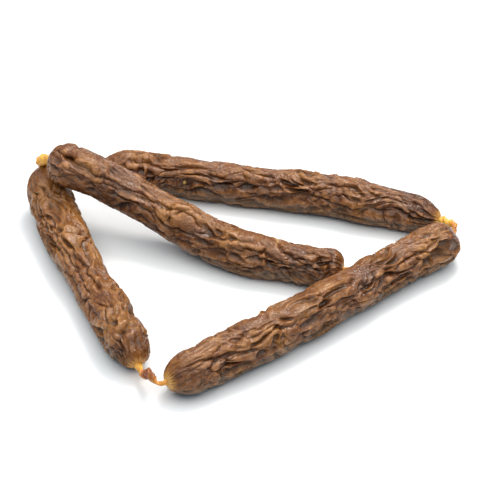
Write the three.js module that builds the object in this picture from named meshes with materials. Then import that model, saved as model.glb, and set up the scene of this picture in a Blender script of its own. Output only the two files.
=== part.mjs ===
// A string of four air-dried snack sausages, still joined end to end by their casing.
//
// Each link is one solid: a furrowed body that closes to a small pucker at both ends.
// Between two links the empty casing is a twisted neck, and at the two free ends of the
// string it is a short twisted tail. Links 2, 3 and 4 lie on the table. Link 1 lies with
// its free end on the table and its other end propped on link 2.
//
// Millimetres, +Z up. The origin is on the table, under the middle of the whole string.

import * as THREE from "three";

// ---- driving dimensions -------------------------------------------------------------

const CAP_LENGTH = 8.5; // length of the rounded end of a link
const CAP_POWER = 2; // 2 is a round end, more is blunter
const PUCKER_RADIUS = 1.3; // where the skin is gathered into the neck
const FOLD_DEPTH = 0.25; // height of the lengthwise furrows
const FOLD_COUNTS = [5, 7, 8]; // furrows around a link; they beat against each other
const SWELL_REACH = 0.14; // half length of a swelling or waist, as a share of the link
const FLATTENED = 0.25; // how much of a link is pressed flat where it dried on the table

const NECK_RADIUS = 0.95; // twisted casing
const NECK_FLATNESS = 0.3; // share by which a neck is wider one way than the other
const NECK_TURN = 0.9; // radians of twist for each millimetre of neck
const NECK_GAP = 0.4; // clearance between a neck and the pucker that it leaves
const KINK_REACH = 0.13; // half length of a kink, as a share of the neck
const TAIL_LENGTH = 4;
const TAIL_DROOP = 2.5;

const AXIS_STEPS = 24;
const CAP_RINGS = 6;
const BODY_RINGS = 24;
const LINK_SIDES = 28;
const NECK_SIDES = 8;
const NECK_STEP = 0.75; // length of one ring of a neck

// ---- where the four links lie --------------------------------------------------------
//
// A link runs from one place to another. Halfway it is bow to the left of the straight
// line, and sway moves it left in its first half and right in its second. swells are
// [share of the length, change of radius]. lean is [height, share]: the link starts that
// much higher and comes down over that share. curls bend the start and the end up or down.

const links = [
  {
    name: "sausage_link_1", // its start is propped on link 2, its end is tucked in behind link 3
    seed: 1.3,
    from: [-77, 46.5],
    to: [40, -2.5],
    bow: -3.2,
    sway: 2,
    radius: 8.5,
    swells: [[0.36, -0.7], [0.84, -0.8]],
    lean: [18, 0.68],
    curls: { start: [0, 1], end: [0, 1] },
  },
  {
    name: "sausage_link_2", // turned up at its start, and its end pucker sits low
    seed: 4.1,
    from: [-81, 54.5],
    to: [-38, -57],
    bow: -2.4,
    sway: -0.6,
    radius: 8.2,
    swells: [[0.2, 0.2], [0.56, -0.6]],
    lean: [0, 1],
    curls: { start: [9, 0.2], end: [-2.5, 0.1] },
  },
  {
    name: "sausage_link_3",
    seed: 2.2,
    from: [-27, -70],
    to: [83.5, 19],
    bow: -2.8,
    sway: -0.5,
    radius: 8.2,
    swells: [[0.36, 0.3], [0.52, 0.3]],
    lean: [0, 1],
    curls: { start: [0, 1], end: [0.7, 0.1] },
  },
  {
    name: "sausage_link_4",
    seed: 5.6,
    from: [-58.5, 67.5],
    to: [80.5, 31.5],
    bow: 3.6,
    sway: -1.3,
    radius: 8.3,
    swells: [[0.34, -0.2], [1, -0.7]],
    lean: [0, 1],
    curls: { start: [0, 1], end: [0, 1] },
  },
];

// ---- the casing ----------------------------------------------------------------------
//
// A neck bends from the pucker that it leaves to the one that it reaches. handles say how
// far it holds on in each pucker's own direction. A kink lifts or lowers its middle.

const necks = [
  {
    name: "casing_neck_1_2",
    leaves: ["sausage_link_1", "start"],
    reaches: ["sausage_link_2", "start"],
    handles: [5, 4],
    kink: -1,
  },
  {
    name: "casing_neck_2_3",
    leaves: ["sausage_link_2", "end"],
    reaches: ["sausage_link_3", "start"],
    handles: [6, 5],
    kink: 3,
  },
  {
    name: "casing_neck_3_4",
    leaves: ["sausage_link_3", "end"],
    reaches: ["sausage_link_4", "end"],
    handles: [5, 6],
    kink: 1,
  },
  { name: "casing_tail_1", leaves: ["sausage_link_1", "end"] },
  { name: "casing_tail_4", leaves: ["sausage_link_4", "start"] },
];

// ---- finishes ------------------------------------------------------------------------

const driedMeat = new THREE.MeshStandardMaterial({ color: 0x81583e, roughness: 0.55, metalness: 0 });
const driedCasing = new THREE.MeshStandardMaterial({ color: 0xdd9a3c, roughness: 0.35, metalness: 0 });

// ---- geometry ------------------------------------------------------------------------

const { lerp, smoothstep } = THREE.MathUtils;

function smoothCurve(points) {
  return new THREE.CatmullRomCurve3(points, false, "centripetal");
}

// A soft hump of height 1 around a place, for swellings and kinks.
function hump(share, place, reach) {
  return Math.exp(-(((share - place) / reach) ** 2));
}

// Radius of a link at a share of its length.
function radiusAt({ radius, swells }, share) {
  return swells.reduce((sum, [place, change]) => sum + change * hump(share, place, SWELL_REACH), radius);
}

// Height that one curled end adds at a distance from that end, as a share of the length.
function curlHeight([height, reach], distance) {
  return height * Math.max(0, 1 - distance / reach) ** 2;
}

// Middle of a link at a share of its length.
function axisPoint(link, share) {
  const [x0, y0] = link.from;
  const [x1, y1] = link.to;
  const length = Math.hypot(x1 - x0, y1 - y0);
  const left = link.bow * 4 * share * (1 - share) + link.sway * Math.sin(2 * Math.PI * share);
  const [drop, over] = link.lean;
  const height =
    radiusAt(link, share) -
    FLATTENED +
    drop * (1 - smoothstep(share, 0, over)) +
    curlHeight(link.curls.start, share) +
    curlHeight(link.curls.end, 1 - share);
  return new THREE.Vector3(
    lerp(x0, x1, share) - (left * (y1 - y0)) / length,
    lerp(y0, y1, share) + (left * (x1 - x0)) / length,
    height
  );
}

function axisCurve(link) {
  return smoothCurve(Array.from({ length: AXIS_STEPS + 1 }, (_, i) => axisPoint(link, i / AXIS_STEPS)));
}

// Closes a stack of rings, all with the same number of points, into one solid.
function solidFromRings(rings) {
  const sides = rings[0].length;
  const last = rings.length - 1;
  const position = [];
  const index = [];
  rings.flat().forEach((p) => position.push(p.x, p.y, p.z));
  for (let i = 0; i < last; i++) {
    for (let j = 0; j < sides; j++) {
      const k = (j + 1) % sides;
      const [a, b, c, d] = [i * sides + j, i * sides + k, (i + 1) * sides + k, (i + 1) * sides + j];
      index.push(a, b, c, a, c, d);
    }
  }
  [rings[0], rings[last]].forEach((ring, atEnd) => {
    const centre = ring.reduce((sum, p) => sum.add(p), new THREE.Vector3()).divideScalar(sides);
    const hub = position.length / 3;
    const first = atEnd ? last * sides : 0;
    position.push(centre.x, centre.y, centre.z);
    for (let j = 0; j < sides; j++) {
      const [p, q] = [first + j, first + ((j + 1) % sides)];
      index.push(hub, ...(atEnd ? [p, q] : [q, p]));
    }
  });
  const geometry = new THREE.BufferGeometry();
  geometry.setAttribute("position", new THREE.Float32BufferAttribute(position, 3));
  geometry.setIndex(index);
  geometry.computeVertexNormals();
  return geometry;
}

// Distances along a link of its rings: close together on the rounded ends.
function ringDistances(length) {
  const cap = [];
  for (let i = 0; i < CAP_RINGS; i++) {
    cap.push(CAP_LENGTH * (1 - Math.cos((i / CAP_RINGS) * (Math.PI / 2))));
  }
  const body = [];
  for (let i = 0; i <= BODY_RINGS; i++) {
    body.push(CAP_LENGTH + ((length - 2 * CAP_LENGTH) * i) / BODY_RINGS);
  }
  return [...cap, ...body, ...cap.map((x) => length - x).reverse()];
}

// Share of the full radius at a distance x from the nearer pucker.
function capShape(x) {
  const inward = Math.max(0, 1 - x / CAP_LENGTH);
  return Math.pow(1 - Math.pow(inward, CAP_POWER), 1 / CAP_POWER);
}

// Furrows that run along the link and wander slowly around it.
function furrow(angle, x, seed) {
  return FOLD_COUNTS.reduce((sum, count, i) => {
    const wander = 0.7 * Math.sin(x * (0.05 + 0.017 * i) + seed * (i + 1));
    return sum + Math.cos(count * angle + wander + seed * (3 + i)) / FOLD_COUNTS.length;
  }, 0);
}

function linkSolid(link) {
  const curve = axisCurve(link);
  const length = curve.getLength();
  const rings = ringDistances(length).map((x) => {
    const centre = curve.getPointAt(x / length);
    const along = curve.getTangentAt(x / length);
    const across = new THREE.Vector3().crossVectors(along, new THREE.Vector3(0, 0, 1)).normalize();
    const above = new THREE.Vector3().crossVectors(across, along);
    const full = radiusAt(link, curve.getUtoTmapping(x / length));
    const shape = capShape(Math.min(x, length - x));
    return Array.from({ length: LINK_SIDES }, (_, j) => {
      const angle = (j / LINK_SIDES) * 2 * Math.PI;
      const r = PUCKER_RADIUS + (full - PUCKER_RADIUS + FOLD_DEPTH * furrow(angle, x, link.seed)) * shape;
      const point = centre
        .clone()
        .addScaledVector(above, r * Math.cos(angle))
        .addScaledVector(across, r * Math.sin(angle));
      point.z = Math.max(0, point.z); // pressed flat where it dried on the table
      return point;
    });
  });
  return solidFromRings(rings);
}

// A point outside a pucker, straight out along its link.
function outsideOf([name, end], distance) {
  const curve = axisCurve(links.find((link) => link.name === name));
  const at = end === "start" ? 0 : 1;
  const outward = curve.getTangentAt(at).multiplyScalar(end === "start" ? -1 : 1);
  return curve.getPointAt(at).addScaledVector(outward, distance);
}

// From pucker to pucker on a cubic curve, or drooping from one pucker.
function neckCurve({ leaves, reaches, handles, kink }) {
  const start = outsideOf(leaves, NECK_GAP);
  if (!reaches) {
    const level = outsideOf(leaves, NECK_GAP + TAIL_LENGTH / 2);
    const tip = outsideOf(leaves, NECK_GAP + TAIL_LENGTH);
    tip.z -= TAIL_DROOP;
    return new THREE.QuadraticBezierCurve3(start, level, tip);
  }
  const end = outsideOf(reaches, NECK_GAP);
  const [first, second] = handles;
  const bend = new THREE.CubicBezierCurve3(start, outsideOf(leaves, first), outsideOf(reaches, second), end);
  const points = bend.getPoints(AXIS_STEPS);
  points.forEach((point, i) => (point.z += kink * hump(i / AXIS_STEPS, 0.5, KINK_REACH)));
  return smoothCurve(points);
}

function neckSolid(neck) {
  const curve = neckCurve(neck);
  const length = curve.getLength();
  const steps = Math.ceil(length / NECK_STEP);
  const frames = curve.computeFrenetFrames(steps, false);
  const rings = Array.from({ length: steps + 1 }, (_, i) => {
    const centre = curve.getPointAt(i / steps);
    return Array.from({ length: NECK_SIDES }, (_, j) => {
      const angle = (j / NECK_SIDES) * 2 * Math.PI;
      const flat = 1 + NECK_FLATNESS * Math.cos(2 * (angle - (NECK_TURN * length * i) / steps));
      return centre
        .clone()
        .addScaledVector(frames.normals[i], NECK_RADIUS * flat * Math.cos(angle))
        .addScaledVector(frames.binormals[i], NECK_RADIUS * flat * Math.sin(angle));
    });
  });
  return solidFromRings(rings);
}

// ---- the string ----------------------------------------------------------------------

function mesh(name, geometry, material) {
  const made = new THREE.Mesh(geometry, material);
  made.name = name;
  return made;
}

const sausageString = new THREE.Group();
links.forEach((link) => sausageString.add(mesh(link.name, linkSolid(link), driedMeat)));
necks.forEach((neck) => sausageString.add(mesh(neck.name, neckSolid(neck), driedCasing)));

export default sausageString;
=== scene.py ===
# String of four dried snack sausages on a pale table. Shapes are in millimetres until putMesh
# turns them to metres. The lamps and the table are in metres.
import math

import bpy
import numpy as np
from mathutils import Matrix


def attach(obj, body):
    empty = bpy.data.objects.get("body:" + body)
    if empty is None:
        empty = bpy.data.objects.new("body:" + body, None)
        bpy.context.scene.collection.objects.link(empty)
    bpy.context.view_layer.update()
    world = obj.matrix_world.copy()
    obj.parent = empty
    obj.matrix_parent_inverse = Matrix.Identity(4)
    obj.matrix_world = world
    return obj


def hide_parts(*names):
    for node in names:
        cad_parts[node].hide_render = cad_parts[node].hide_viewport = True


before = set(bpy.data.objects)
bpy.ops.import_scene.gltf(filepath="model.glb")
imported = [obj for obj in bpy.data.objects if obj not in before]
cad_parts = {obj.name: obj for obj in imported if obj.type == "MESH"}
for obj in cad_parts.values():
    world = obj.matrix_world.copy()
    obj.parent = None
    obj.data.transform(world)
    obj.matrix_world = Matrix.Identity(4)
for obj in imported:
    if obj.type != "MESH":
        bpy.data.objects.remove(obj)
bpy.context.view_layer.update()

mm = 0.001

view = {
    "aim": (-0.3, 27.5, 0.0),  # point on the table at the middle of the picture
    "height": 36.5,  # degrees above the table
    "distance": 809.5,
    "lens": 150,
}


def addCamera():
    # looks level along +Y, then down at the aim from the given height and distance
    lift = math.radians(view["height"])
    data = bpy.data.cameras.new("camera")
    data.lens = view["lens"]
    data.sensor_width = 36
    data.clip_start = 0.01
    data.clip_end = 20
    camera = bpy.data.objects.new("camera", data)
    x, y, z = view["aim"]
    away = view["distance"]
    camera.location = (x * mm, (y - away * math.cos(lift)) * mm, (z + away * math.sin(lift)) * mm)
    camera.rotation_euler = (math.pi / 2 - lift, 0, 0)
    bpy.context.scene.collection.objects.link(camera)
    bpy.context.scene.camera = camera


lights = {
    "world": (0.30, 0.66, 1.0),
    "worldStrength": 0.27,
    "softbox": {"at": (0.04, 0.05, 0.9), "size": 2.0, "watts": 25.6, "colour": (1.0, 0.96, 0.90)},
    "glint": {"at": (0.16, 0.42, 0.78), "size": 0.28, "watts": 3.6, "colour": (1.0, 0.97, 0.92)},
}


def addArea(name, at, size, watts, colour):
    # a square lamp that faces the origin
    data = bpy.data.lights.new(name, "AREA")
    data.shape = "SQUARE"
    data.size = size
    data.energy = watts
    data.color = colour
    lamp = bpy.data.objects.new(name, data)
    lamp.location = at
    x, y, z = at
    lamp.rotation_euler = (math.atan2(math.hypot(x, y), z), 0, math.atan2(-y, -x) - math.pi / 2)
    bpy.context.scene.collection.objects.link(lamp)


def addLights():
    world = bpy.data.worlds.new("room")
    bpy.context.scene.world = world
    world.use_nodes = True
    background = world.node_tree.nodes["Background"]
    background.inputs["Color"].default_value = (*lights["world"], 1)
    background.inputs["Strength"].default_value = lights["worldStrength"]
    addArea("softbox", **lights["softbox"])
    addArea("glint", **lights["glint"])
    bpy.context.scene.view_settings.view_transform = "Standard"


addCamera()
addLights()
print("camera and light are set")


def measured(curve):
    # how far along the curve each of its points is
    return np.r_[0, np.cumsum(np.linalg.norm(np.diff(curve[:, :3], axis=0), axis=1))]


def alongPath(run, curve, x):
    # the curve's columns at distances x along it, straight between its points
    return np.stack([np.interp(x, run, column) for column in curve.T], -1)


def unit(v):
    # the same direction with length 1
    return v / np.maximum(np.linalg.norm(v, axis=-1, keepdims=True), 1e-12)


def ease(x):
    # smooth step: 0 below 0, 1 above 1, 3x2 - 2x3 between
    x = np.clip(x, 0, 1)
    return x * x * (3 - 2 * x)


def wrapped(turn):
    # the same angle between minus half a turn and half a turn
    return (turn + np.pi) % (2 * np.pi) - np.pi


def waveNoise(shape, size, wave, spread, seed):
    # white noise kept only near one wavelength in each direction: a ring-shaped filter on its spectrum,
    # exp(-((k - 1) / spread)^2) with k = 1 at the wanted waves. Spread 0 keeps longer waves too, exp(-k^2)
    white = np.random.default_rng(seed).standard_normal(shape)
    rows = np.fft.fftfreq(shape[0], size[0] / shape[0])[:, None] * wave[0]
    columns = np.fft.rfftfreq(shape[1], size[1] / shape[1])[None, :] * wave[1]
    k = np.hypot(rows, columns)
    keep = np.exp(-(((k - 1) / spread) ** 2)) if spread else np.exp(-(k**2))
    keep[0, 0] = 0
    made = np.fft.irfft2(np.fft.rfft2(white) * keep, shape)
    return made / made.std()


def hump(x, place, reach):
    # bell of height 1
    return np.exp(-(((x - place) / reach) ** 2))


def blurred(grid, size, reach):
    # Gaussian blur done on the spectrum, exp(-2 (pi * reach * frequency)^2)
    rows = np.fft.fftfreq(grid.shape[0], size[0] / grid.shape[0])[:, None]
    columns = np.fft.rfftfreq(grid.shape[1], size[1] / grid.shape[1])[None, :]
    keep = np.exp(-2 * (np.pi * reach) ** 2 * (rows**2 + columns**2))
    return np.fft.irfft2(np.fft.rfft2(grid) * keep, grid.shape)


def blurredAlong(rows, reach):
    # running mean down the columns, over that many rows
    window = np.ones(reach) / reach
    padded = np.pad(rows, ((reach // 2, reach // 2), (0, 0)), mode="edge")
    return np.stack([np.convolve(column, window, "valid") for column in padded.T], -1)


def lookUp(grid, row, column):
    # value between grid points, bilinear, wrapping round both ways
    r0, c0 = np.floor(row).astype(int), np.floor(column).astype(int)
    fr, fc = row - r0, column - c0
    r1, c1 = (r0 + 1) % grid.shape[0], (c0 + 1) % grid.shape[1]
    r0, c0 = r0 % grid.shape[0], c0 % grid.shape[1]
    top = grid[r0, c0] * (1 - fc) + grid[r0, c1] * fc
    low = grid[r1, c0] * (1 - fc) + grid[r1, c1] * fc
    return top * (1 - fr) + low * fr


def putMesh(name, grid, marks):
    # grid: rows of rings, closed round each ring; each end is closed by a fan to the ring's middle
    rows, sides = grid.shape[:2]
    points = np.vstack([grid.reshape(-1, 3), grid[0].mean(0), grid[-1].mean(0)]) * mm
    a = np.arange(rows * sides).reshape(rows, sides)
    b = np.roll(a, -1, axis=1)
    quads = np.stack([a[:-1], b[:-1], b[1:], a[1:]], -1).reshape(-1)
    first, last = rows * sides, rows * sides + 1
    start = np.stack([np.full(sides, first), b[0], a[0]], -1).reshape(-1)
    end = np.stack([np.full(sides, last), a[-1], b[-1]], -1).reshape(-1)
    corners = np.concatenate([quads, start, end])
    starts = np.r_[np.arange(0, len(quads), 4), len(quads) + np.arange(0, len(start) + len(end), 3)]
    mesh = bpy.data.meshes.new(name)
    mesh.vertices.add(len(points))
    mesh.vertices.foreach_set("co", points.astype(np.float32).ravel())
    mesh.loops.add(len(corners))
    mesh.loops.foreach_set("vertex_index", corners.astype(np.int32))
    mesh.polygons.add(len(starts))
    mesh.polygons.foreach_set("loop_start", starts.astype(np.int32))
    mesh.update(calc_edges=True)
    mesh.shade_smooth()
    for mark, value in marks.items():
        layer = mesh.attributes.new(mark, "FLOAT", "POINT")
        flat = np.r_[value.ravel(), value[0].mean(), value[-1].mean()]
        layer.data.foreach_set("value", flat.astype(np.float32))
    piece = bpy.data.objects.new(name, mesh)
    bpy.context.scene.collection.objects.link(piece)
    return piece



def freshMaterial(name):
    material = bpy.data.materials.new(name)
    material.use_nodes = True
    tree = material.node_tree
    return material, tree, tree.nodes["Principled BSDF"]


def put(tree, kind, inputs=None, **settings):
    made = tree.nodes.new(kind)
    for key, value in settings.items():
        setattr(made, key, value)
    for key, value in (inputs or {}).items():
        if isinstance(value, bpy.types.NodeSocket):
            tree.links.new(value, made.inputs[key])
        else:
            made.inputs[key].default_value = value
    return made


def mark(tree, name):
    return put(tree, "ShaderNodeAttribute", attribute_name=name).outputs["Fac"]


def math2(tree, kind, a, b):
    return put(tree, "ShaderNodeMath", {0: a, 1: b}, operation=kind).outputs[0]


def between(tree, value, low, high):
    # 0 at low, 1 at high, smooth between
    inputs = {"Value": value, "From Min": low, "From Max": high}
    return put(tree, "ShaderNodeMapRange", inputs, interpolation_type="SMOOTHSTEP").outputs["Result"]


def mixed(tree, share, a, b, kind="MIX"):
    made = tree.nodes.new("ShaderNodeMix")
    made.data_type = "RGBA"
    made.blend_type = kind
    for socket, value in ((made.inputs["Factor"], share), (made.inputs[6], a), (made.inputs[7], b)):
        if isinstance(value, bpy.types.NodeSocket):
            tree.links.new(value, socket)
        elif isinstance(value, tuple):
            socket.default_value = (*value, 1)
        else:
            socket.default_value = value
    return made.outputs[2]


def grain(tree, where, size, detail=3, roughness=0.55, warp=0.0):
    # noise whose features are about size millimetres across
    inputs = {
        "Vector": where,
        "Scale": 1 / (size * mm),
        "Detail": detail,
        "Roughness": roughness,
        "Distortion": warp,
    }
    return put(tree, "ShaderNodeTexNoise", inputs).outputs["Fac"]


def bumped(tree, height, depth, under=None):
    inputs = {"Height": height, "Strength": 1.0, "Distance": depth * mm}
    if under:
        inputs["Normal"] = under
    return put(tree, "ShaderNodeBump", inputs).outputs["Normal"]


def setInputs(shader, values):
    for name, value in values.items():
        shader.inputs[name].default_value = (*value, 1) if "Tint" in name or "Color" in name else value


meat = {
    "dark": (0.070, 0.020, 0.005),
    "brown": (0.158, 0.050, 0.012),
    "golden": (0.272, 0.104, 0.021),
    # pale: a painted highlight laid on the ridges
    "pale": (0.40, 0.168, 0.052),
    # dark colour for the creases: painted shade, partly the darker skin of the folds
    "creaseShade": (0.022, 0.006, 0.002),
    "amber": (0.31, 0.105, 0.013),
    "tip": (0.58, 0.30, 0.07),
    "fleck": (0.46, 0.25, 0.065),
    # olive-grey on the faces that look down near the table: painted underside shade and floor reflection,
    # partly the skin's own colour there
    "underShadeOlive": (0.110, 0.066, 0.032),
    "fat": (0.80, 0.50, 0.14),
    # how much each grain lifts the tone
    "broadLift": 0.55,
    "blotchLift": 0.75,
    "fineLift": 0.35,
    # tones, or grains, at which a colour begins and is full
    "brownRange": (0.45, 0.95),
    "goldenRange": (0.75, 1.35),
    "highlightRange": (0.35, 0.7),
    "fleckRange": (0.53, 0.68),
    "fleckTones": (0.7, 1.25),
    # how far each colour covers what is under it
    "underShadeShare": 0.7,
    "highlightShare": 0.75,
    "fleckShare": 0.55,
    "creaseShadeShare": 0.7,
    "roughness": 0.30,
    "roughnessSpread": 0.3,
    "grainDepth": 0.28,
    "fineDepth": 0.16,
    "shader": {
        "Specular IOR Level": 0.42,
        "Specular Tint": (1.0, 0.88, 0.78),
        "Coat Weight": 0.2,
        "Coat Roughness": 0.14,
        "Subsurface Weight": 0.12,
        "Subsurface Radius": (1.0, 0.35, 0.15),
        "Subsurface Scale": 0.0012,
    },
}


def curedMeat():
    # tone = the piece's own tone + grains of three sizes; it runs from dark over brown to golden, and the
    # marks lay olive, pale, flecks, amber, tip, crease and fat over it in that order. The olive is painted
    # underside shade and floor reflection, partly the skin's own colour there; the pale is a painted
    # highlight on the ridges; the crease colour is painted shade, partly the darker skin of the folds
    material, tree, shader = freshMaterial("curedMeat")
    where = put(tree, "ShaderNodeTexCoord").outputs["Object"]
    broad = grain(tree, where, 9, 2)
    blotch = grain(tree, where, 3.2, 4, 0.6, 0.6)
    fine = grain(tree, where, 0.8, 4, 0.65)
    tone = math2(tree, "ADD", mark(tree, "tone"), math2(tree, "MULTIPLY", broad, meat["broadLift"]))
    tone = math2(tree, "ADD", tone, math2(tree, "MULTIPLY", blotch, meat["blotchLift"]))
    tone = math2(tree, "ADD", tone, math2(tree, "MULTIPLY", fine, meat["fineLift"]))
    colour = mixed(tree, between(tree, tone, *meat["brownRange"]), meat["dark"], meat["brown"])
    colour = mixed(tree, between(tree, tone, *meat["goldenRange"]), colour, meat["golden"])
    # painted underside shade and floor reflection, partly the skin's own colour there
    under = math2(tree, "MULTIPLY", mark(tree, "under"), meat["underShadeShare"])
    colour = mixed(tree, under, colour, meat["underShadeOlive"])
    # painted highlight: the pale colour laid on the ridges, in patches of the blotch grain
    ridgeHighlight = math2(tree, "MULTIPLY", mark(tree, "ridgeHighlight"), between(tree, blotch, *meat["highlightRange"]))
    colour = mixed(tree, math2(tree, "MULTIPLY", ridgeHighlight, meat["highlightShare"]), colour, meat["pale"])
    fleck = between(tree, grain(tree, where, 0.5, 3, 0.7), *meat["fleckRange"])
    fleck = math2(tree, "MULTIPLY", fleck, between(tree, tone, *meat["fleckTones"]))
    colour = mixed(tree, math2(tree, "MULTIPLY", fleck, meat["fleckShare"]), colour, meat["fleck"])
    colour = mixed(tree, mark(tree, "amber"), colour, meat["amber"])
    colour = mixed(tree, mark(tree, "tip"), colour, meat["tip"])
    # painted crease shade, laid where the skin lies below its surroundings, partly the darker skin of the
    # folds
    creaseShade = math2(tree, "MULTIPLY", mark(tree, "creaseShade"), meat["creaseShadeShare"])
    colour = mixed(tree, creaseShade, colour, meat["creaseShade"])
    colour = mixed(tree, mark(tree, "speck"), colour, meat["fat"])
    tree.links.new(colour, shader.inputs["Base Color"])
    # the grain averages a half, so half its spread is taken off again
    spread = meat["roughnessSpread"]
    rough = math2(tree, "ADD", math2(tree, "MULTIPLY", blotch, spread), meat["roughness"] - spread / 2)
    tree.links.new(rough, shader.inputs["Roughness"])
    normal = bumped(tree, grain(tree, where, 1.5, 3, 0.6), meat["grainDepth"])
    normal = bumped(tree, fine, meat["fineDepth"], normal)
    tree.links.new(normal, shader.inputs["Normal"])
    setInputs(shader, meat["shader"])
    return material


casing = {
    "pale": (0.86, 0.47, 0.075),
    "amber": (0.60, 0.24, 0.025),
    "burnt": (0.25, 0.066, 0.013),
    "blotchLift": 0.5,
    "amberRange": (0.2, 0.75),  # tones at which amber begins and is full
    "burntRange": (0.75, 1.3),
    "grainDepth": 0.08,
    "shader": {
        "Roughness": 0.28,
        "Subsurface Weight": 0.5,
        "Subsurface Radius": (1.0, 0.5, 0.15),
        "Subsurface Scale": 0.0012,
    },
}


def driedCasing():
    # tone = the piece's own tone + a blotchy grain; it runs from pale over amber to burnt
    material, tree, shader = freshMaterial("driedCasing")
    where = put(tree, "ShaderNodeTexCoord").outputs["Object"]
    blotch = grain(tree, where, 1.6, 3, 0.6, 0.8)
    tone = math2(tree, "ADD", mark(tree, "tone"), math2(tree, "MULTIPLY", blotch, casing["blotchLift"]))
    colour = mixed(tree, between(tree, tone, *casing["amberRange"]), casing["pale"], casing["amber"])
    colour = mixed(tree, between(tree, tone, *casing["burntRange"]), colour, casing["burnt"])
    tree.links.new(colour, shader.inputs["Base Color"])
    normal = bumped(tree, grain(tree, where, 0.6, 3, 0.6), casing["grainDepth"])
    tree.links.new(normal, shader.inputs["Normal"])
    setInputs(shader, casing["shader"])
    return material


tableTop = {
    "half": 2.5,
    "shader": {"Base Color": (0.86, 0.865, 0.87), "Roughness": 0.7, "Specular IOR Level": 0.2},
}


def paleTable():
    # one square with its middle at the origin
    material, tree, shader = freshMaterial("paleTable")
    setInputs(shader, tableTop["shader"])
    half = tableTop["half"]
    corners = [(-half, -half, 0), (half, -half, 0), (half, half, 0), (-half, half, 0)]
    mesh = bpy.data.meshes.new("table")
    mesh.from_pydata(corners, [], [(0, 1, 2, 3)])
    table = bpy.data.objects.new("table", mesh)
    table.data.materials.append(material)
    bpy.context.scene.collection.objects.link(table)


meatMaterial = curedMeat()
casingMaterial = driedCasing()
paleTable()
print("materials are made")

link = {
    "cell": 0.29,  # size of one grid cell
    "sides": 184,
    "samples": 2400,  # places worked out along the middle line
    "skinSamples": 4000,  # and along the skin
    "pucker": 1.3,  # radius where the skin is gathered
    "swellReach": 0.14,  # half length of a swelling or waist, as a share of the link
    "flattened": 0.25,  # how much is pressed flat on the table
    "look": 0.4,  # how far ahead and back a ring's heading is read
    "markRadius": 8.2,  # radius at which creases, dents and specks are measured round the link
    # wrinkles. wave: length along the link and spacing round it. spread: how mixed the sizes are.
    # power: lower is sharper. share: strength outside a patch, and what the patch adds
    "plates": {"wave": (20.0, 6.4), "spread": 0.45, "height": 1.0, "power": 0.8, "share": (0.5, 0.7)},
    "folds": {"wave": (14.0, 4.2), "spread": 0.45, "height": 1.5, "power": 0.45, "share": (0.3, 0.9)},
    "small": {"wave": (7.5, 2.5), "spread": 0.5, "height": 0.52, "power": 0.8, "share": (0.4, 0.8)},
    "nips": {"wave": (6.0, 2.0), "spread": 0.5, "height": 0.26, "power": 0.7, "share": (1.2, -0.7)},
    "pebbles": {"wave": (1.3, 1.0), "spread": 0.5, "height": 0.05},
    "lumps": {"wave": (24.0, 16.0), "spread": 0, "height": 0.36},
    "strongWave": (20, 12),  # patches of strong valleys
    "foldedWave": (22, 9),  # patches of high folds
    "patchContrast": 0.42,
    "wander": (2.4, 1.5),  # how far the pattern is pushed along and around
    "wanderWaves": ((22, 14), (22, 12)),
    "nudge": (0.5, 0.06),  # the same for the single creases, in millimetres and radians
    "nudgeWave": (7, 7),
    # strength: least along the top, what the sides add, where that starts and over how many radians
    "top": {"least": 0.36, "more": 0.8, "from": 0.15, "over": 0.7, "uneven": 0.25},
    "underneath": {"loss": 0.5, "from": 1.65, "over": 0.8},
    "beside": (0.4, 0.8),  # strength left in a single crease, and the depth at which it is reached
    "ceiling": (0.6, 0.25),  # highest place of the skin, and how softly it stops there
    "bottom": (-1.9, 0.35),  # deepest place, the same way
    "endCalm": 15,  # distance from a pucker over which the relief grows to its full height
    "endLeast": 0.1,
    "roomRadius": 5,  # rings smaller than this have less relief
    "pleatLeast": 0.35,  # share of the pleats' height that is left in the smallest rings
    "pebbleEnd": 3,  # distance from a pucker over which the pebbles grow
    "slideEnd": 4,  # the same for the slide
    "hangRadius": 6,  # rings smaller than this hang less
    "softness": 0.3,  # blur of the relief that the skin slides and hangs by
    "sag": 0.7,  # how far the folds hang down the sides
    "pinch": 0.3,  # how far the skin slides downhill, which narrows the creases
    "steepest": (1.0, 1.2),  # slopes along and around past which it slides no further
    "pleats": 17,
    "pleatReach": 7.0,
    "pleatHeight": 0.32,
    "pleatTwist": 0.10,  # radians a millimetre
    "pleatUneven": (1.6, 0.9, 0.5),
    "edgeWaver": (0.8, 0.9),  # how far the edges of amber and sunk ends follow the pleats, and wander
    "tipWaver": 2.2,  # how far the edge of a pale tip follows the pleats
    "floor": (0.25, 0.02),  # softness of the place where the skin meets the table, and how much lower it lies
    "sunkEdge": 1.4,  # width of the step down to a sunk end
    # painted crease shade in the colour: blur, depth for the full colour, share of it that doesn't count,
    # weight
    "deep": (1.6, 0.75, 0.12, 0.75),
    "fine": (0.6, 0.35, 0.1, 0.4),
    "highlightHeight": 0.45,  # height above the blurred skin for the full painted highlight colour on the ridges
    "toneLump": 0.10,
    "toneTop": 0.12,
    "toneSunk": 0.22,
    "speckEdge": 1.6,  # a speck ends at this many of its sizes, and is full up to one less
}

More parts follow.
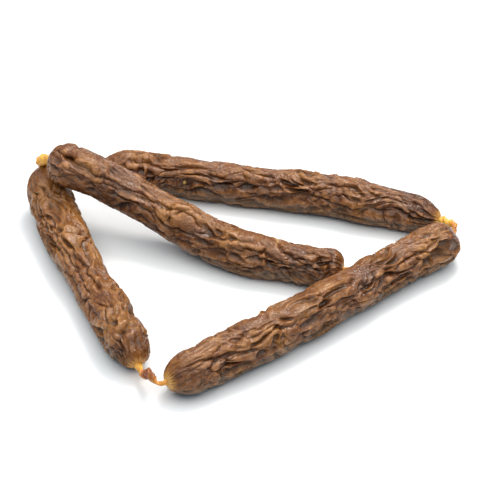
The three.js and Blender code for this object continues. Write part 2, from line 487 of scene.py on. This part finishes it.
# A link runs from one place to another. Halfway it is bow to the left of the straight line, and sway
# moves it left in its first half and right in its second.
# swells: share of the length, change of radius.
# lean: the link starts that much higher and comes down over that share.
# curls: how much the start and the end bend up, over which share.
# ends: round is reach and bluntness, amber is reach and strength, tip is the reach of the pale tip, and
# sink is the place of the step down to the end, and its depth.
# creases: depth, width, then places as distance along and degrees round from the top, positive to the
# right of the link's own direction.
# dents: distance along, degrees, half length, half width, depth. A negative depth fills.
# specks: distance along, degrees, size.
linkRows = {
    "sausage_link_1": {
        "lies": {"from": (-77, 46.5), "to": (40, -2.5), "bow": -3.2, "sway": 2, "radius": 8.5},
        "swells": [(0.36, -0.7), (0.84, -0.8)],
        "lean": (18, 0.68),
        "curls": [(0, 1), (0, 1)],
        "ends": [
            {"round": (8.5, 2.0), "amber": (3.5, 0.3), "tip": 0.5, "sink": (0, 0)},
            {"round": (8.0, 2.4), "amber": (7.0, 0.7), "tip": 1.5, "sink": (0, 0)},
        ],
        "seed": 11,
        "tone": 0.0,
        "creases": [
            (1.2, 0.6, [(4, 5), (4.5, 20), (7, 34), (9, 46), (12, 54)]),
            (1.0, 0.55, [(12, 50), (15, 44), (20, 40), (27, 42), (33, 43)]),
            (0.9, 0.5, [(36, 34), (41, 31), (47, 27), (54, 26), (60, 15), (68, 17), (74, 22)]),
            (0.9, 0.55, [(20, 55), (28, 60), (35, 60), (43, 65), (51, 57), (58, 70), (64, 72)]),
            (0.8, 0.5, [(28, 92), (36, 88), (44, 85), (52, 90), (60, 84), (70, 88)]),
            (1.3, 0.7, [(73, 80), (78, 76), (82, 67), (87, 53), (92, 43), (99, 42), (103, 48)]),
            (1.0, 0.6, [(96, 46), (98, 58), (101, 68), (103, 78)]),
            (0.8, 0.5, [(70, 50), (76, 42), (82, 38), (88, 22), (94, 24)]),
            (0.9, 0.55, [(104, -18), (105, 5), (106, 25), (111, 38), (117, 34)]),
            (1.4, 0.8, [(125, -10), (125.5, 15), (126, 40), (126, 62), (125, 80)]),
            (1.0, 0.6, [(115, 62), (119, 66), (123, 72)]),
        ],
        "dents": [
            (9.5, 34, 2.4, 2.8, 4.2),
            (4.5, 14, 1.6, 2.6, 0.8),
            (99, 60, 4, 3, 0.5),
            (117, 44, 4, 2.6, 0.5),
        ],
        "specks": [(103, -14, 0.45), (102, -24, 0.3)],
    },
    "sausage_link_2": {
        "lies": {"from": (-81, 54.5), "to": (-38, -57), "bow": -2.4, "sway": -0.6, "radius": 8.2},
        "swells": [(0.2, 0.2), (0.56, -0.6)],
        "lean": (0, 1),
        "curls": [(9, 0.2), (-2.5, 0.1)],
        "ends": [
            {"round": (11.0, 1.9), "amber": (5.5, 0.6), "tip": 2.0, "sink": (0, 0)},
            {"round": (9.5, 2.0), "amber": (8.0, 0.95), "tip": 2.2, "sink": (13.5, 0.9)},
        ],
        "seed": 23,
        "tone": 0.13,
        "creases": [
            (0.9, 0.6, [(21, 46), (26, 52), (32, 56), (38, 54)]),
            (0.8, 0.55, [(40, 56), (46, 54), (52, 47)]),
            (1.1, 0.6, [(56, 12), (60, 18), (65, 15), (69, 9), (74, 13), (80, 9), (84, -3)]),
            (0.8, 0.5, [(69, 9), (69, -2), (67, -12)]),
            (1.0, 0.55, [(66, 48), (72, 46), (78, 42), (84, 42)]),
            (0.9, 0.5, [(60, 72), (68, 70), (76, 68), (84, 66), (92, 64), (100, 60)]),
            (1.0, 0.6, [(92, 50), (94, 38), (97, 27), (97, 14), (95, 6)]),
            (0.7, 0.5, [(98, 40), (103, 36), (108, 34)]),
            (1.2, 0.65, [(117, 62), (115, 45), (113, 30), (112, 12), (111, -8), (112, -26), (114, -48)]),
        ],
        "dents": [
            (118, 52, 2.0, 2.0, 0.9),
            (113, 30, 1.6, 2.2, 0.5),
            (112, 2, 1.6, 2.2, 0.5),
            (83, 0, 2.5, 2.0, 0.4),
        ],
        "specks": [(58, 40, 0.3)],
    },
    "sausage_link_3": {
        "lies": {"from": (-27, -70), "to": (83.5, 19), "bow": -2.8, "sway": -0.5, "radius": 8.2},
        "swells": [(0.36, 0.3), (0.52, 0.3)],
        "lean": (0, 1),
        "curls": [(0, 1), (0.7, 0.1)],
        "ends": [
            {"round": (11.0, 1.75), "amber": (7.0, 0.6), "tip": 2.8, "sink": (0, 0)},
            {"round": (8.0, 2.3), "amber": (4.0, 0.4), "tip": 1.5, "sink": (0, 0)},
        ],
        "seed": 37,
        "tone": 0.02,
        "creases": [
            (0.9, 0.6, [
                (11, 20), (14, 34), (18, 46), (22, 42), (27, 50),
                (31, 62), (33, 50), (38, 45), (44, 45),
            ]),
            (0.8, 0.5, [(27, 12), (32, 18), (37, 12), (42, 18)]),
            (1.0, 0.6, [(45, 30), (49, 45), (52, 52), (56, 40)]),
            (1.0, 0.6, [(49, 8), (52, 20), (55, 36)]),
            (1.1, 0.6, [(53, 46), (60, 50), (68, 51), (75, 52), (82, 50), (89, 48), (96, 47), (102, 46)]),
            (0.9, 0.5, [(102, 46), (109, 42), (116, 40), (124, 46)]),
            (0.9, 0.5, [(57, 68), (64, 66), (70, 70), (78, 68), (85, 70)]),
            (0.8, 0.5, [(65, 12), (71, 18), (77, 14), (84, 24), (89, 22)]),
            (0.9, 0.5, [(104, 66), (110, 62), (117, 64), (125, 62)]),
            (0.8, 0.5, [(90, 82), (98, 80), (107, 86), (116, 84)]),
        ],
        "dents": [
            (135, 45, 5, 6, -1.5),
            (132, 70, 4, 4, -0.8),
            (50, 44, 3, 2.4, 0.7),
            (53, 18, 2.6, 2.0, 0.5),
            (34, 56, 2.6, 2.2, 0.5),
            (16, 40, 2.5, 2.0, 0.4),
        ],
        "specks": [(40, 88, 0.25)],
    },
    "sausage_link_4": {
        "lies": {"from": (-58.5, 67.5), "to": (80.5, 31.5), "bow": 3.6, "sway": -1.3, "radius": 8.3},
        "swells": [(0.34, -0.2), (1, -0.7)],
        "lean": (0, 1),
        "curls": [(0, 1), (0, 1)],
        "ends": [
            {"round": (13.0, 1.9), "amber": (4.0, 0.5), "tip": 1.5, "sink": (0, 0)},
            {"round": (13.0, 1.7), "amber": (6.5, 0.7), "tip": 2.5, "sink": (0, 0)},
        ],
        "seed": 41,
        "tone": -0.04,
        "creases": [
            (1.2, 0.7, [(11, 16), (17, 24), (24, 32), (30, 36), (36, 26), (43, 10), (50, 12)]),
            (1.1, 0.65, [(11, 50), (18, 52), (26, 62), (35, 68)]),
            (0.9, 0.55, [(35, 50), (42, 42), (50, 36), (57, 40)]),
            (0.9, 0.55, [(49, 64), (55, 56), (60, 48), (66, 56), (71, 46)]),
            (0.9, 0.5, [(60, -6), (65, 8), (70, 22), (76, 26)]),
            (1.5, 0.7, [(68, 86), (75, 86), (80, 80), (86, 70), (92, 70), (99, 78), (106, 82)]),
            (1.4, 0.7, [(103, 84), (109, 76), (115, 70), (122, 73), (130, 66), (139, 60)]),
            (0.8, 0.5, [(92, 20), (100, 26), (108, 22), (116, 26), (126, 28), (136, 36)]),
            (0.9, 0.5, [(102, 54), (108, 50), (114, 56), (120, 52)]),
            (0.8, 0.5, [(110, 4), (118, 10), (126, 12), (134, 22), (140, 34)]),
            (0.9, 0.5, [(80, 42), (88, 46), (96, 50)]),
        ],
        "dents": [(74, 84, 6, 2.2, 0.5), (62, 52, 4, 2.4, 0.5), (30, 34, 5, 2.2, 0.4)],
        "specks": [(37, 85, 0.4), (52, 62, 0.3)],
    },
}


def linkAxis(row):
    # middle and radius along a link: a straight line moved left by bow * 4u(1 - u) + sway * sin(2 pi u),
    # with swell * exp(-((u - place) / reach)^2) on the radius. Its height is the radius less what is
    # pressed flat, + drop * (1 - ease(u / over)) and, at each end, lift * (1 - away / share)^2
    lies = row["lies"]
    u = np.linspace(0, 1, link["samples"])
    start, finish = np.array(lies["from"], float), np.array(lies["to"], float)
    ahead = unit(finish - start)
    left = lies["bow"] * 4 * u * (1 - u) + lies["sway"] * np.sin(2 * np.pi * u)
    flat = start + (finish - start) * u[:, None] + left[:, None] * np.array([-ahead[1], ahead[0]])
    swells = sum(change * hump(u, place, link["swellReach"]) for place, change in row["swells"])
    radius = lies["radius"] + swells
    drop, over = row["lean"]
    height = radius - link["flattened"] + drop * (1 - ease(u / over))
    for (lift, share), away in zip(row["curls"], (u, 1 - u)):
        height = height + lift * np.clip(1 - away / share, 0, 1) ** 2
    curve = np.column_stack([flat, height, radius])
    return measured(curve), curve


def nearestOnLine(line, along, around, radius):
    # distance from every grid point to a bent line of straight pieces, and how far along the line that is
    line = np.array(line, float)
    px, pt = line[:, 0], np.radians(line[:, 1])
    best = np.full(np.broadcast(along, around).shape, 1e9)
    share = np.zeros_like(best)
    for i in range(len(line) - 1):
        dx, dt = px[i + 1] - px[i], (pt[i + 1] - pt[i]) * radius
        gx = along - px[i]
        gt = wrapped(around - pt[i]) * radius
        u = np.clip((gx * dx + gt * dt) / (dx * dx + dt * dt), 0, 1)
        away = np.hypot(gx - u * dx, gt - u * dt)
        closer = away < best
        best = np.where(closer, away, best)
        share = np.where(closer, (i + u) / (len(line) - 1), share)
    return best, share


creaseForm = {
    "sharpness": 1.3,
    "valley": 1.7,  # half width of the valley, in widths of the crease
    "lipAt": 3.4,  # distance of the lip, the same way
    "lip": 0.42,  # height of the lip, as a share of the depth
    "fade": 0.18,  # share of the line over which an end fades
    "fadeLeast": 0.15,
}


def creaseHeight(creases, along, around, radius):
    # each crease is a valley, -exp(-(away / (1.7 width))^1.3), with a raised lip on both sides,
    # 0.42 exp(-((away - 3.4 width) / (1.7 width))^2), and it fades at its ends
    total = np.zeros(np.broadcast(along, around).shape)
    for depth, width, line in creases:
        away, share = nearestOnLine(line, along, around, radius)
        fade = ease(share / creaseForm["fade"] + creaseForm["fadeLeast"])
        fade = fade * ease((1 - share) / creaseForm["fade"] + creaseForm["fadeLeast"])
        half = creaseForm["valley"] * width
        valley = -np.exp(-((away / half) ** creaseForm["sharpness"]))
        lip = creaseForm["lip"] * np.exp(-(((away - creaseForm["lipAt"] * width) / half) ** 2))
        total += depth * fade * (valley + lip)
    return total


def linkRings(row):
    # the smooth link. Each end closes as pucker + (radius - pucker) * (1 - (1 - edge / reach)^n)^(1 / n).
    # Rings are evenly spaced along the skin, so they crowd together on the round ends
    run, curve = linkAxis(row)
    length = run[-1]
    x = np.linspace(0, length, link["skinSamples"])
    middle = alongPath(run, curve, x)
    cap = np.ones_like(x)
    for edge, end in zip((x, length - x), row["ends"]):
        reach, power = end["round"]
        cap *= (1 - np.clip(1 - edge / reach, 0, 1) ** power) ** (1 / power)
    profile = link["pucker"] + (middle[:, 3] - link["pucker"]) * cap
    skin = np.r_[0, np.cumsum(np.hypot(np.diff(x), np.diff(profile)))]
    rows, sides = int(round(skin[-1] / link["cell"])), link["sides"]
    m = np.linspace(0, skin[-1], rows)
    x = np.interp(m, skin, x)
    radius = np.interp(m, skin, profile)
    girth = 2 * np.pi * middle[:, 3].mean()

    # across is level, above stands square to it and to the axis
    middle = alongPath(run, curve, x)[:, :3]
    ahead = alongPath(run, curve, np.clip(x + link["look"], 0, length))[:, :3]
    back = alongPath(run, curve, np.clip(x - link["look"], 0, length))[:, :3]
    heading = unit(ahead - back)
    across = unit(np.cross(heading, [0, 0, 1.0]))
    above = np.cross(across, heading)
    angle = np.arange(sides) / sides * 2 * np.pi
    facing = np.cos(angle)[None, :, None] * above[:, None] + np.sin(angle)[None, :, None] * across[:, None]
    base = middle[:, None] + radius[:, None, None] * facing
    tangentM = unit(np.gradient(base, axis=0))
    tangentT = unit(np.roll(base, -1, 1) - np.roll(base, 1, 1))
    outward = unit(np.cross(tangentM, tangentT))
    outward *= np.sign((outward * facing).sum(-1).mean())
    return {
        "length": length,
        "x": x,
        "fromStart": m[:, None],
        "fromEnd": skin[-1] - m[:, None],
        "radius": radius,
        "angle": angle,
        "shape": (rows, sides),
        "size": (skin[-1], girth),
        "cell": (skin[-1] / (rows - 1), girth / sides),
        "base": base,
        "outward": outward,
        "tangentM": tangentM,
        "tangentT": tangentT,
    }


def wrinkles(rings, seed):
    # noise pushed about by smoother noise. Sharp valleys are |noise|^power less its mean of about 0.8, and
    # folds stand up as round crests, 0.85 - (noise^2 + 0.04)^power. Both are stronger in some patches
    cell = rings["cell"]

    def noise(wave, spread, draw):
        return waveNoise(rings["shape"], rings["size"], wave, spread, seed + draw)

    def pushed(kind, draw):
        return lookUp(noise(link[kind]["wave"], link[kind]["spread"], draw), atRow, atColumn)

    def patches(wave, draw):
        return ease(0.5 + link["patchContrast"] * noise(wave, 0, draw))

    def strength(kind, where):
        outside, added = link[kind]["share"]
        return outside + added * where

    def valley(kind, made, where):
        return link[kind]["height"] * (np.abs(made) ** link[kind]["power"] - 0.8) * strength(kind, where)

    pushM = noise(link["wanderWaves"][0], 0, 1) * link["wander"][0]
    pushT = noise(link["wanderWaves"][1], 0, 2) * link["wander"][1]
    atRow = np.arange(rings["shape"][0])[:, None] + pushM / cell[0]
    atColumn = np.arange(rings["shape"][1])[None, :] + pushT / cell[1]
    plates = pushed("plates", 3)
    folds = pushed("folds", 4)
    small = pushed("small", 10)
    nips = pushed("nips", 14)
    pebble = noise(link["pebbles"]["wave"], link["pebbles"]["spread"], 5)
    lump = noise(link["lumps"]["wave"], link["lumps"]["spread"], 6)
    strong = patches(link["strongWave"], 7)
    folded = patches(link["foldedWave"], 12)
    valleys = valley("plates", plates, strong) + valley("small", small, strong) + valley("nips", nips, folded)
    crests = link["folds"]["height"] * (0.85 - (folds**2 + 0.04) ** link["folds"]["power"])
    crests = crests * strength("folds", folded)

    # calmer along the top, where nothing hangs, and underneath
    turned = np.abs(wrapped(rings["angle"]))[None, :]
    top, low = link["top"], link["underneath"]
    alive = top["least"] + top["more"] * ease((turned - top["from"]) / top["over"] + top["uneven"] * lump)
    alive = alive * (1 - low["loss"] * ease((turned - low["from"]) / low["over"]))
    return valleys, crests, alive, turned, lump, pebble


def linkPiece(name, row):
    # the smooth link, moved outwards by its relief, then slid and hung along the skin
    seed = row["seed"]
    rings = linkRings(row)
    shape, size, cell = rings["shape"], rings["size"], rings["cell"]
    radius, angle, outward = rings["radius"], rings["angle"], rings["outward"]
    valleys, crests, alive, turned, lump, pebble = wrinkles(rings, seed)

    # the creases and dents that are listed one by one
    nudgeX = link["nudge"][0] * waveNoise(shape, size, link["nudgeWave"], 0, seed + 8)
    nudgeT = link["nudge"][1] * waveNoise(shape, size, link["nudgeWave"], 0, seed + 9)
    alongGrid, aroundGrid = rings["x"][:, None] + nudgeX, angle[None, :] + nudgeT
    creases = creaseHeight(row["creases"], alongGrid, aroundGrid, link["markRadius"])
    least, full = link["beside"]
    calm = least + (1 - least) * ease(1 + creases / full)
    height = (valleys + crests) * alive * calm + creases
    # a soft ceiling, top - fade * ln(1 + exp((top - height) / fade)), and a soft bottom the other way up
    top, fade = link["ceiling"]
    height = top - fade * np.logaddexp(0, (top - height) / fade)
    low, fade = link["bottom"]
    height = low + fade * np.logaddexp(0, (height - low) / fade)
    height += link["lumps"]["height"] * lump
    for s, degrees, halfLength, halfWidth, depth in row["dents"]:
        gap = wrapped(aroundGrid - math.radians(degrees)) * link["markRadius"]
        height -= depth * np.exp(-(((alongGrid - s) / halfLength) ** 2) - (gap / halfWidth) ** 2)

    # pleats run into each pucker: |sin|^0.7 of the angle, unevenly spaced and slightly twisted
    edge = np.minimum(rings["fromStart"], rings["fromEnd"])
    first, second, third = link["pleatUneven"]
    uneven = first * np.sin(angle + seed) + second * np.sin(2 * angle + 2.0 * seed)
    uneven = uneven + third * np.sin(3 * angle - seed)
    phase = link["pleats"] / 2 * angle + uneven[None, :] + link["pleatTwist"] * edge
    reach = link["pleatReach"] * (1 + 0.25 * np.sin(5 * angle + seed))
    gather = ease(1 - edge / reach)
    pleat = np.abs(np.sin(phase)) ** 0.7 - 0.65
    room = ease(radius[:, None] / link["roomRadius"])
    marks = {"amber": np.zeros(shape), "tip": np.zeros(shape)}
    sunk = np.zeros(shape)
    for edgeOf, end in zip((rings["fromStart"], rings["fromEnd"]), row["ends"]):
        follow, wander = link["edgeWaver"]
        wavy = edgeOf + follow * pleat + wander * np.sin(4 * angle + seed)[None, :]
        reach, strength = end["amber"]
        marks["amber"] += strength * ease(1 - wavy / reach)
        marks["tip"] += ease(1.3 - (edgeOf - link["tipWaver"] * pleat) / end["tip"])
        reach, depth = end["sink"]
        if depth:
            step = ease((reach - wavy) / link["sunkEdge"])
            height -= depth * step
            sunk += step
    height = height * ease(edge / link["endCalm"] + link["endLeast"]) * room
    least = link["pleatLeast"]
    height += link["pleatHeight"] * pleat * gather * (least + (1 - least) * room)

    # slide the skin towards the valleys and towards the crests, which sharpens both, and let it hang
    soft = blurred(height, size, link["softness"])
    keen = blurred(height - 2 * crests * alive * calm, size, link["softness"])
    slopeM = np.gradient(keen, axis=0) / cell[0]
    slopeT = (np.roll(keen, -1, 1) - np.roll(keen, 1, 1)) / (2 * cell[1])
    slide = link["pinch"] * np.minimum(1, edge / link["slideEnd"])
    steepM, steepT = link["steepest"]
    height += link["pebbles"]["height"] * pebble * ease(edge / link["pebbleEnd"])
    grid = rings["base"] + outward * height[..., None]
    grid -= (slide * np.clip(slopeM, -steepM, steepM))[..., None] * rings["tangentM"]
    hang = link["sag"] * soft * np.sin(angle)[None, :] - slide * np.clip(slopeT, -steepT, steepT)
    hang = hang * np.minimum(1, radius / link["hangRadius"])[:, None]
    grid += hang[..., None] * rings["tangentT"]

    # pressed flat on the table by a soft floor at about zero, (z + sqrt(z^2 + softness)) / 2 - lower
    softness, lower = link["floor"]
    grid[..., 2] = 0.5 * (grid[..., 2] + np.sqrt(grid[..., 2] ** 2 + softness)) - lower

    # painted shade goes where a place lies below the skin around it, and a painted highlight on a ridge where
    # it stands above
    creased = np.zeros(shape)
    for reach, full, ignored, weight in (link["deep"], link["fine"]):
        creased += np.clip((blurred(height, size, reach) - height) / full - ignored, 0, 1) * weight
    marks["creaseShade"] = np.clip(creased, 0, 1)
    above = height - blurred(height, size, link["deep"][0])
    marks["ridgeHighlight"] = np.clip(above / link["highlightHeight"], 0, 1)
    marks["tone"] = row["tone"] + link["toneLump"] * lump + link["toneTop"] * ease(1 - turned / 1.1)
    marks["tone"] -= link["toneSunk"] * sunk
    # faces that look down and lie low on the table, for the painted underside shade and floor reflection
    marks["under"] = ease(0.5 - outward[..., 2] * 1.4) * ease(1 - (grid[..., 2] - 4) / 8)
    marks["speck"] = np.zeros(shape)
    for s, degrees, spot in row["specks"]:
        gap = wrapped(aroundGrid - math.radians(degrees)) * link["markRadius"]
        speck = ease(link["speckEdge"] - np.hypot(alongGrid - s, gap) / spot)
        marks["speck"] = np.maximum(marks["speck"], speck)

    piece = putMesh(name.replace("sausage_link", "link"), grid, marks)
    piece.data.materials.append(meatMaterial)
    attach(piece, "root")
    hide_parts(name)
    print(name, "rings", shape[0], "length %.1f" % rings["length"])


for linkName, linkRow in linkRows.items():
    linkPiece(linkName, linkRow)

neck = {
    "step": 0.09,
    "samples": 400,  # places worked out along its curve
    "sides": 36,
    "turn": 0.75,  # radians of twist a millimetre
    "flat": 0.16,
    "lobe": 0.08,
    "groove": 0.12,
    "swells": (0.06, 0.03),  # slow and quick swelling along the neck
    "slim": 0.92,  # the half thicknesses below are taken times this
    "smooth": 9,  # rings over which the heading is evened out
    "side": (0.5, 0.35, -0.8),  # the section is laid out square to this direction
    "root": 2.2,  # length inside the link
    "kinkReach": 0.13,
    "tail": 4,
    "droop": 2.5,
    "tipSpan": 24,  # places of a link's middle line that give the direction of its pucker
}

# handles: how far a neck holds on in each pucker's own direction. kink lifts the middle of it.
# half is the half thickness and tone the colour, 0 pale to 1 burnt, both at even steps along the neck.
# A tail reaches no other link.
neckRows = {
    "casing_neck_1_2": {
        "leaves": ("sausage_link_1", 0),
        "reaches": ("sausage_link_2", 0),
        "handles": (5, 4),
        "kink": -1,
        "half": (2.0, 1.8, 2.1, 2.3, 2.3, 2.2, 2.0),
        "tone": (0.35, 0.2, 0.1, 0.25, 0.5, 0.6, 0.5),
    },
    "casing_neck_2_3": {
        "leaves": ("sausage_link_2", 1),
        "reaches": ("sausage_link_3", 0),
        "handles": (6, 5),
        "kink": 3,
        "half": (2.0, 1.4, 1.2, 1.8, 2.1, 1.6, 0.9, 1.0, 1.9),
        "tone": (0.3, 0.05, 0.3, 0.7, 1.1, 0.9, 0.5, 0.3, 0.2),
    },
    "casing_neck_3_4": {
        "leaves": ("sausage_link_3", 1),
        "reaches": ("sausage_link_4", 1),
        "handles": (5, 6),
        "kink": 1,
        "half": (2.0, 1.3, 1.2, 1.5, 1.8, 1.7, 1.9),
        "tone": (0.4, 0.6, 0.8, 0.3, 0.0, 0.0, 0.2),
    },
    "casing_tail_1": {
        "leaves": ("sausage_link_1", 1),
        "half": (1.9, 1.3, 1.0, 0.7),
        "tone": (0.4, 0.3, 0.2, 0.2),
    },
    "casing_tail_4": {
        "leaves": ("sausage_link_4", 0),
        "half": (1.9, 1.3, 1.0, 0.7),
        "tone": (0.4, 0.3, 0.2, 0.1),
    },
}


def outsideOf(which, far):
    # place that far straight out of a pucker; a negative distance is inside the link
    name, end = which
    curve = linkAxis(linkRows[name])[1]
    if end:
        curve = curve[::-1]
    tip, inner = curve[0, :3], curve[neck["tipSpan"], :3]
    return tip + far * unit(tip - inner)


def neckPath(row):
    # cubic curve from pucker to pucker, (1-t)^3 a + 3(1-t)^2 t b + 3(1-t)t^2 c + t^3 d, with a straight root
    # inside each link; a tail droops on (1-t)^2 a + 2(1-t)t b + t^2 c
    t = np.linspace(0, 1, neck["samples"])[:, None]
    a, root = outsideOf(row["leaves"], 0), outsideOf(row["leaves"], -neck["root"])
    if "reaches" not in row:
        b, c = outsideOf(row["leaves"], neck["tail"] / 2), outsideOf(row["leaves"], neck["tail"])
        c = c - [0, 0, neck["droop"]]
        return np.vstack([root, (1 - t) ** 2 * a + 2 * (1 - t) * t * b + t**2 * c])
    first, second = row["handles"]
    b, c = outsideOf(row["leaves"], first), outsideOf(row["reaches"], second)
    d = outsideOf(row["reaches"], 0)
    bend = (1 - t) ** 3 * a + 3 * (1 - t) ** 2 * t * b + 3 * (1 - t) * t**2 * c + t**3 * d
    bend[:, 2] += row["kink"] * hump(t[:, 0], 0.5, neck["kinkReach"])
    return np.vstack([root, bend, outsideOf(row["reaches"], -neck["root"])])


def neckPiece(name, row, seed):
    # a round section carried along the path: 1 + flat cos(2a) + lobe cos(3a) - groove |sin(4a)|, turned
    # steadily on the way, times the half thickness there and a slow swelling
    curve = neckPath(row)
    run = measured(curve)
    rows = int(run[-1] / neck["step"])
    x = np.linspace(0, run[-1], rows)
    middle = alongPath(run, curve, x)
    steps = np.linspace(0, run[-1], len(row["half"]))
    half, tone = np.interp(x, steps, row["half"]), np.interp(x, steps, row["tone"])
    heading = unit(blurredAlong(np.gradient(middle, axis=0), neck["smooth"]))
    side = unit(np.cross(heading, neck["side"]))
    other = np.cross(heading, side)
    angle = np.arange(neck["sides"]) / neck["sides"] * 2 * np.pi
    spin = neck["turn"] * x[:, None]
    ring = 1 + neck["flat"] * np.cos(2 * (angle - spin))
    ring += neck["lobe"] * np.cos(3 * (angle - 1.3 * spin) + seed)
    ring -= neck["groove"] * np.abs(np.sin(4 * (angle - spin) + seed))
    slow, quick = neck["swells"]
    swell = 1 + slow * np.sin(1.9 * x + seed) + quick * np.sin(4.3 * x)
    reach = (half * swell)[:, None] * ring * neck["slim"]
    facing = np.cos(angle)[None, :, None] * side[:, None] + np.sin(angle)[None, :, None] * other[:, None]
    grid = middle[:, None] + reach[..., None] * facing
    # the inner places of the section, the grooves and the middles of the flat sides, get a darker tone and
    # the outer edges a paler one: painted shade in the grooves and painted light through the thin edges of
    # the casing
    marks = {"tone": np.broadcast_to(tone[:, None], ring.shape) + 0.25 * (1 - ring)}
    piece = putMesh(name.replace("casing_", ""), grid, marks)
    piece.data.materials.append(casingMaterial)
    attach(piece, "root")
    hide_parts(name)


for number, (neckName, neckRow) in enumerate(neckRows.items()):
    neckPiece(neckName, neckRow, number)
print("casing is made")
